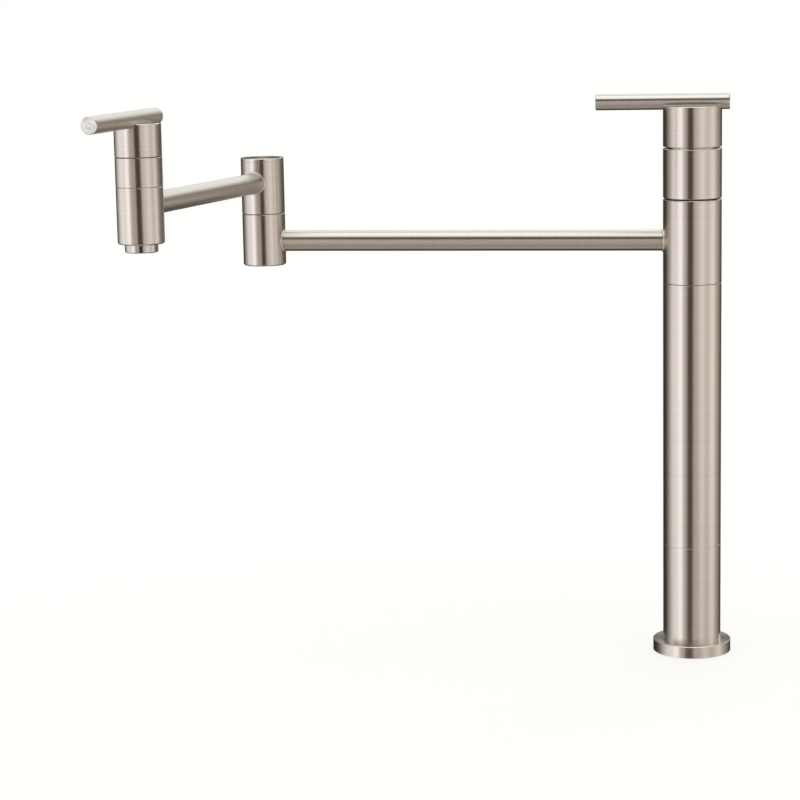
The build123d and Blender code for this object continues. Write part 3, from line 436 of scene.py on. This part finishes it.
# Works of the column: the ring under the tube, the lock nut, the spindle that the arm
# swivels on, the valve body, its cartridge and stem. All are bar brass, bare as it comes
# from the lathe, and screwed together.
def turned_brass(name, point=(0, 0, 0), along=(0, 0, 1)):
    """Free-cutting brass from the lathe: yellow metal with fine tool marks round the piece.
    The feed marks are 0.1 mm apart; they are drawn 0.5 mm apart so that they show."""
    made = bpy.data.materials.new(name)
    tree = new_tree(made)
    lines, over = lathe_lines(tree, point, along, 0.0005, 0.2)
    marks = add_node(
        tree, "ShaderNodeTexNoise", {"Vector": lines, "Scale": 1.0, "Detail": 2.0}
    ).outputs[0]
    tone = add_node(tree, "ShaderNodeValToRGB", {0: marks})
    tone.color_ramp.elements[0].color = linear("B8935A")
    tone.color_ramp.elements[1].color = linear("E0C080")
    relief = add_node(
        tree, "ShaderNodeBump", {"Height": marks, "Strength": 0.4, "Distance": 0.00003}
    ).outputs[0]
    shader = add_node(tree, "ShaderNodeBsdfPrincipled", {
        "Base Color": tone.outputs[0], "Metallic": 1.0, "Roughness": 0.3,
        "Anisotropic": 0.5, "Tangent": over, "Normal": relief,
    }).outputs[0]
    add_node(tree, "ShaderNodeOutputMaterial", {"Surface": shader})
    return made


column_brass = turned_brass("turned_brass")
finish(
    column_brass, "base_coupler", "lock_nut", "swivel_spindle", "valve_body", "inlet_cartridge",
    "inlet_stem",
)


# Mounting shank: a hollow brass bar with a fine clamp thread cut along it, and a thinner
# neck below with the half-inch supply thread. It screws up into the lower casing, and the
# lock nut on it pulls the tap down on the deck. The rubber seals of the column sit by it.
def make_active(piece):
    """Leaves one object selected and active."""
    bpy.ops.object.select_all(action="DESELECT")
    piece.select_set(True)
    bpy.context.view_layer.objects.active = piece


def apply_modifier(piece, kind, **settings):
    """Adds one modifier to a piece and applies it."""
    modifier = piece.modifiers.new(kind.lower(), kind)
    for name, value in settings.items():
        setattr(modifier, name, value)
    make_active(piece)
    bpy.ops.object.modifier_apply(modifier=modifier.name)


def thread_skin(radius, depth, lead, low, high):
    """The open skin of a helical thread between two heights: one tooth is swept up round
    the axis, its turns are merged and its ragged ends are cut off flat."""
    root = radius - depth
    start = low - 1.3 * lead
    steps_per_turn = 72
    same_height = 1e-7
    # The tooth's outline: radius and share of the lead
    tooth = ((root, 0.0), (root, 0.06), (radius, 0.44), (radius, 0.56), (root, 0.94), (root, 1.0))
    bpy.ops.object.select_all(action="DESELECT")
    bpy.ops.mesh.primitive_circle_add(vertices=len(tooth), radius=radius)
    piece = bpy.context.object
    bpy.ops.object.mode_set(mode="EDIT")
    bpy.ops.mesh.select_all(action="DESELECT")
    bpy.ops.object.mode_set(mode="OBJECT")
    for corner, (out, share_of_lead) in zip(piece.data.vertices, tooth):
        corner.co = (out, 0.0, start + lead * share_of_lead)
    last = len(tooth) - 1
    for edge in piece.data.edges:
        edge.select = {0, last} == set(edge.vertices)
    bpy.ops.object.mode_set(mode="EDIT")
    bpy.ops.mesh.delete(type="EDGE_FACE")
    bpy.ops.object.mode_set(mode="OBJECT")
    apply_modifier(
        piece, "SCREW", angle=2 * math.pi, screw_offset=lead, axis="Z",
        steps=steps_per_turn, render_steps=steps_per_turn,
        iterations=math.ceil((high - start) / lead) + 2, use_normal_calculate=True,
    )
    bpy.ops.object.mode_set(mode="EDIT")
    bpy.ops.mesh.select_all(action="SELECT")
    bpy.ops.mesh.remove_doubles(threshold=lead / 200)
    bpy.ops.mesh.select_all(action="SELECT")
    bpy.ops.mesh.bisect(
        plane_co=(0, 0, low), plane_no=(0, 0, 1), clear_inner=True, threshold=same_height
    )
    bpy.ops.mesh.select_all(action="SELECT")
    bpy.ops.mesh.bisect(
        plane_co=(0, 0, high), plane_no=(0, 0, 1), clear_outer=True, threshold=same_height
    )
    bpy.ops.mesh.select_all(action="DESELECT")
    bpy.ops.object.mode_set(mode="OBJECT")
    return piece


def lead_in(piece, radius, end, bevel):
    """Cuts a thread's teeth down to a cone towards one end."""
    for corner in piece.data.vertices:
        out = math.hypot(corner.co.x, corner.co.y)
        most = radius - bevel + abs(corner.co.z - end)
        if out > most:
            corner.co.x *= most / out
            corner.co.y *= most / out


def pick_rims(piece, *heights):
    """Selects a skin's open rims at some heights, in edit mode."""
    make_active(piece)
    bpy.ops.object.mode_set(mode="EDIT")
    bpy.ops.mesh.select_mode(type="EDGE")
    bpy.ops.mesh.select_all(action="DESELECT")
    bpy.ops.mesh.select_non_manifold(
        use_wire=False, use_boundary=True, use_multi_face=False, use_non_contiguous=False,
        use_verts=False,
    )
    bpy.ops.object.mode_set(mode="OBJECT")
    corners = piece.data.vertices
    for edge in piece.data.edges:
        middle = sum(corners[index].co.z for index in edge.vertices) / 2
        edge.select = edge.select and any(abs(middle - height) < 1e-6 for height in heights)
    bpy.ops.object.mode_set(mode="EDIT")


clamp_thread = {"radius": 0.0131, "depth": 0.0009, "lead": 0.0015}
supply_thread = {"radius": 0.01045, "depth": 0.00116, "lead": 0.001814}
shank_top = 0.022
shank_step = -0.052
shank_end = -0.068
shank_bore = 0.007
shank_lead_in = 0.001
shank = thread_skin(**clamp_thread, low=shank_step, high=shank_top)
lead_in(shank, clamp_thread["radius"], shank_top, shank_lead_in)
lead_in(shank, clamp_thread["radius"], shank_step, shank_lead_in)
neck = thread_skin(**supply_thread, low=shank_end, high=shank_step)
lead_in(neck, supply_thread["radius"], shank_end, shank_lead_in)
make_active(shank)
neck.select_set(True)
bpy.ops.object.join()
pick_rims(shank, shank_step)
bpy.ops.mesh.bridge_edge_loops()
bpy.ops.object.mode_set(mode="OBJECT")
for end in (shank_end, shank_top):
    pick_rims(shank, end)
    bpy.ops.mesh.extrude_edges_move()
    bpy.ops.object.mode_set(mode="OBJECT")
    for corner in shank.data.vertices:
        if corner.select:
            out = math.hypot(corner.co.x, corner.co.y)
            corner.co.x *= shank_bore / out
            corner.co.y *= shank_bore / out
pick_rims(shank, shank_end, shank_top)
bpy.ops.mesh.bridge_edge_loops()
bpy.ops.mesh.select_all(action="SELECT")
bpy.ops.mesh.normals_make_consistent(inside=False)
bpy.ops.object.mode_set(mode="OBJECT")
shank.name = "threaded_shank"
make_active(shank)
bpy.ops.object.shade_smooth_by_angle(angle=math.radians(25))
shank.data.materials.clear()
shank.data.materials.append(column_brass)
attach(shank, "column")
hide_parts("mounting_shank")
finish(
    seal_rubber, "deck_seal", "riser_seals", "swivel_seals", "inlet_seat_seal", "inlet_stem_seals",
)


# Steel parts: the riser pipe in the column, the clamp washer under the deck, and the
# screws, the elbow's retainer and the stems' clips. They are stainless steel, drawn,
# pressed or headed cold, and left as pickled.
def plain_stainless(name):
    """Stainless steel, pressed or drawn and then pickled: grey, with a dull uneven sheen."""
    made = bpy.data.materials.new(name)
    tree = new_tree(made)
    place = add_node(tree, "ShaderNodeTexCoord").outputs["Object"]
    cloud = add_node(
        tree, "ShaderNodeTexNoise", {"Vector": place, "Scale": 300.0, "Detail": 4.0}
    ).outputs[0]
    tone = add_node(tree, "ShaderNodeValToRGB", {0: cloud})
    tone.color_ramp.elements[0].color = linear("A9A8A5")
    tone.color_ramp.elements[1].color = linear("CFCDC9")
    rough = add_node(
        tree, "ShaderNodeMapRange", {"Value": cloud, 1: 0.3, 2: 0.7, 3: 0.28, 4: 0.42}
    ).outputs[0]
    shader = add_node(tree, "ShaderNodeBsdfPrincipled", {
        "Base Color": tone.outputs[0], "Metallic": 1.0, "Roughness": rough,
    }).outputs[0]
    add_node(tree, "ShaderNodeOutputMaterial", {"Surface": shader})
    return made


stainless = plain_stainless("pickled_stainless")
finish(
    stainless, "clamp_washer", "riser_tube", "elbow_retainer", "elbow_screw",
    "inlet_lever_screws", "outlet_lever_screws", "inlet_set_screw", "outlet_set_screw",
    "inlet_stem_clip", "outlet_stem_clip",
)


# Bearing rings and thrust washers: they part the turning metal of the collar and the
# elbow. They are black acetal, turned from rod, and sit in grooves or lie in the seams.
def bearing_plastic(name):
    """Acetal: almost black, smooth, with a waxy shine and a faint cloudy tone."""
    made = bpy.data.materials.new(name)
    tree = new_tree(made)
    place = add_node(tree, "ShaderNodeTexCoord").outputs["Object"]
    cloud = add_node(
        tree, "ShaderNodeTexNoise", {"Vector": place, "Scale": 500.0, "Detail": 2.0}
    ).outputs[0]
    tone = add_node(tree, "ShaderNodeValToRGB", {0: cloud})
    tone.color_ramp.elements[0].color = linear("242322")
    tone.color_ramp.elements[1].color = linear("343230")
    shader = add_node(tree, "ShaderNodeBsdfPrincipled", {
        "Base Color": tone.outputs[0], "Roughness": 0.38, "IOR": 1.48,
    }).outputs[0]
    add_node(tree, "ShaderNodeOutputMaterial", {"Surface": shader})
    return made


acetal = bearing_plastic("turned_acetal")
finish(
    acetal, "swivel_bearings", "lower_thrust_washer", "upper_thrust_washer", "elbow_bearing",
    "elbow_thrust_washer",
)


# Valve discs: two in each valve, one fixed in the cartridge and one turned by the stem.
# They are pressed and fired alumina, lapped flat so that they seal on each other.
def lapped_ceramic(name):
    """Alumina: warm white with a faint speckle, glossy where it is lapped."""
    made = bpy.data.materials.new(name)
    tree = new_tree(made)
    place = add_node(tree, "ShaderNodeTexCoord").outputs["Object"]
    speckle = add_node(
        tree, "ShaderNodeTexNoise", {"Vector": place, "Scale": 1500.0, "Detail": 2.0}
    ).outputs[0]
    tone = add_node(tree, "ShaderNodeValToRGB", {0: speckle})
    tone.color_ramp.elements[0].color = linear("DEDAD0")
    tone.color_ramp.elements[1].color = linear("F0EDE6")
    shader = add_node(tree, "ShaderNodeBsdfPrincipled", {
        "Base Color": tone.outputs[0], "Roughness": 0.14, "IOR": 1.77,
    }).outputs[0]
    add_node(tree, "ShaderNodeOutputMaterial", {"Surface": shader})
    return made


alumina = lapped_ceramic("lapped_alumina")
finish(alumina, "inlet_fixed_disc", "inlet_moving_disc", "outlet_fixed_disc", "outlet_moving_disc")

# Inlet handle: a hub turned and splined to the stem, with a round lever bar lying in a
# saddle across its top, held from below by two screws. Both are brass, nickel plated; the
# hub is brushed round in the lathe, the bar on a belt, and its ends are ground.
inlet_axis_height = 0.4265
belt_dull = 0.35
belt_pull = 0.9
# The pale tone of the ground ends is fitted to the photo as well
# This pale end tone is painted light: the ends carry the same plating as the rest of the bar.
ground_dull = 0.3
painted_light_end_tone = "F6F1E9"
painted_light_end_rings = "DCD7CF"
inlet_bar_nickel = satin_nickel(
    "brushed_nickel_inlet_bar", (0, 0, inlet_axis_height), (-1, 0, 0),
    belt_dull, belt_pull, ground_dull, painted_light_end_tone, painted_light_end_rings,
)
finish(turned_nickel, "inlet_hub")
finish(inlet_bar_nickel, "inlet_lever")

# Lower arm: a drawn brass tube, nickel plated and brushed round on a belt. Its ends sit in
# sockets in the collar and the elbow, where they are brazed.
lower_arm_height = 0.3213
# The arm's tone is a little browner than the other pieces', again only to match the photo
# This browner tone is painted shade: the arm carries the same plating as the other pieces.
lower_arm_nickel = satin_nickel(
    "brushed_nickel_lower_arm", (0, 0, lower_arm_height), (-1, 0, 0), belt_dull, belt_pull,
    tones=("CFC2B4", "DBCEC0"),
)
finish(lower_arm_nickel, "lower_arm_tube")


# Brazed joints: a small fillet of silver solder runs round each end of the arms, where
# the tube enters a round casing. It is blasted clean and plated over with the rest.
arm_radius = 0.008
column_radius = 0.02225
joint_radius = 0.0167
bead_radius = 0.0009


def brazing(name):
    """Silver solder, blasted and plated with the rest: paler and duller than the brushing."""
    made = bpy.data.materials.new(name)
    tree = new_tree(made)
    place = add_node(tree, "ShaderNodeTexCoord").outputs["Object"]
    grain = add_node(
        tree, "ShaderNodeTexNoise", {"Vector": place, "Scale": 2500.0, "Detail": 2.0}
    ).outputs[0]
    tone = add_node(tree, "ShaderNodeValToRGB", {0: grain})
    tone.color_ramp.elements[0].color = linear("D2CAC0")
    tone.color_ramp.elements[1].color = linear("F4EFE8")
    relief = add_node(
        tree, "ShaderNodeBump", {"Height": grain, "Strength": 0.5, "Distance": 0.0001}
    ).outputs[0]
    shader = add_node(tree, "ShaderNodeBsdfPrincipled", {
        "Base Color": tone.outputs[0], "Metallic": 1.0, "Roughness": 0.4, "Normal": relief,
    }).outputs[0]
    add_node(tree, "ShaderNodeOutputMaterial", {"Surface": shader})
    return made


solder = brazing("blasted_solder")


def brazed_joint(name, body, material, centre, height, casing_radius, heading):
    """A thin ring that follows the line where an arm's tube meets a round casing."""
    bpy.ops.object.select_all(action="DESELECT")
    bpy.ops.mesh.primitive_torus_add(
        major_radius=arm_radius, minor_radius=bead_radius, major_segments=96, minor_segments=12,
        rotation=(0, math.radians(90), 0),
    )
    piece = bpy.context.object
    bpy.ops.object.transform_apply(location=False, rotation=True, scale=False)
    for corner in piece.data.vertices:
        ring_radius = math.hypot(corner.co.y, corner.co.z)
        sideways = corner.co.y * arm_radius / ring_radius
        corner.co.x += math.sqrt(casing_radius ** 2 - sideways ** 2)
    piece.rotation_euler = (0, 0, heading)
    piece.location = (centre[0], centre[1], height)
    bpy.ops.object.transform_apply(location=True, rotation=True, scale=True)
    bpy.ops.object.shade_smooth()
    piece.name = name
    piece.data.materials.append(material)
    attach(piece, body)


elbow_place = (-0.3337, 0, 0)
brazed_joint(
    "collar_fillet", "lower_arm", solder, (0, 0), lower_arm_height, column_radius, math.pi
)
brazed_joint(
    "lower_elbow_fillet", "lower_arm", solder, elbow_place, lower_arm_height, joint_radius, 0.0
)

# Elbow: a lower cup on the lower arm, an upper cup that turns on a spindle in it, and a
# cap pressed in on top. The cups and the cap are brass, turned, plated and brushed round;
# the spindle is bare brass with rubber O-rings.
elbow_nickel = satin_nickel("brushed_nickel_elbow", elbow_place)
elbow_brass = turned_brass("turned_brass_elbow", elbow_place)
finish(elbow_nickel, "elbow_lower", "elbow_upper", "elbow_cap")
finish(elbow_brass, "elbow_spindle")
finish(seal_rubber, "elbow_seals")

# Upper arm: a shorter piece of the same drawn tube, plated and brushed round on a belt,
# and brazed at both ends into the elbow's upper cup and the spout head.
upper_arm_height = 0.3675
upper_turn = math.radians(257.65)
upper_arm_nickel = satin_nickel(
    "brushed_nickel_upper_arm", (elbow_place[0], 0, upper_arm_height),
    (math.cos(upper_turn), math.sin(upper_turn), 0), belt_dull, belt_pull,
)
finish(upper_arm_nickel, "upper_arm_tube")
head_place = (-0.377653, -0.200745, 0)
brazed_joint(
    "upper_elbow_fillet", "upper_arm", solder, elbow_place, upper_arm_height, joint_radius,
    upper_turn,
)
brazed_joint(
    "head_fillet", "upper_arm", solder, head_place, upper_arm_height, joint_radius,
    upper_turn - math.pi,
)

# Spout head: a body with the valve's seat, a short sleeve round its rim and the handle's
# hub. They are brass, turned, nickel plated and brushed round. The cartridge and its stem
# inside are bare brass with rubber seals.
head_nickel = satin_nickel("brushed_nickel_head", head_place)
head_brass = turned_brass("turned_brass_head", head_place)
finish(head_nickel, "outlet_body", "outlet_sleeve", "outlet_hub")
finish(head_brass, "outlet_cartridge", "outlet_stem")
finish(seal_rubber, "outlet_seat_seal", "outlet_stem_seals", "aerator_washer")


# Aerator: a thin brass housing, polished and nickel plated, with a moulded plastic mesh
# in it. It screws up into the bottom of the spout head.
def bright_nickel(name, point):
    """Polished nickel plate: mirror bright, with faint wiping marks."""
    made = bpy.data.materials.new(name)
    tree = new_tree(made)
    lines, over = lathe_lines(tree, point, (0, 0, 1), 0.001, 0.02)
    wipe = add_node(
        tree, "ShaderNodeTexNoise", {"Vector": lines, "Scale": 1.0, "Detail": 3.0}
    ).outputs[0]
    rough = add_node(
        tree, "ShaderNodeMapRange", {"Value": wipe, 1: 0.3, 2: 0.7, 3: 0.16, 4: 0.30}
    ).outputs[0]
    tone = add_node(tree, "ShaderNodeValToRGB", {0: wipe})
    tone.color_ramp.elements[0].color = linear("BDB7B0")
    tone.color_ramp.elements[1].color = linear("D2CCC5")
    shader = add_node(tree, "ShaderNodeBsdfPrincipled", {
        "Base Color": tone.outputs[0], "Metallic": 1.0, "Roughness": rough,
        "Anisotropic": 0.3, "Tangent": over,
    }).outputs[0]
    add_node(tree, "ShaderNodeOutputMaterial", {"Surface": shader})
    return made


polished_nickel = bright_nickel("polished_nickel", head_place)
finish(polished_nickel, "aerator_housing")
finish(acetal, "aerator_screen")

# Outlet handle: a round lever bar like the column's, of plated and belt-brushed brass
# with ground ends. It lies in the saddle of the head's hub, held from below by screws.
outlet_axis_height = 0.4288
outlet_turn = math.radians(262)
outlet_bar_nickel = satin_nickel(
    "brushed_nickel_outlet_bar", (head_place[0], head_place[1], outlet_axis_height),
    (math.cos(outlet_turn), math.sin(outlet_turn), 0),
    belt_dull, belt_pull, ground_dull, painted_light_end_tone, painted_light_end_rings,
)
finish(outlet_bar_nickel, "outlet_lever")
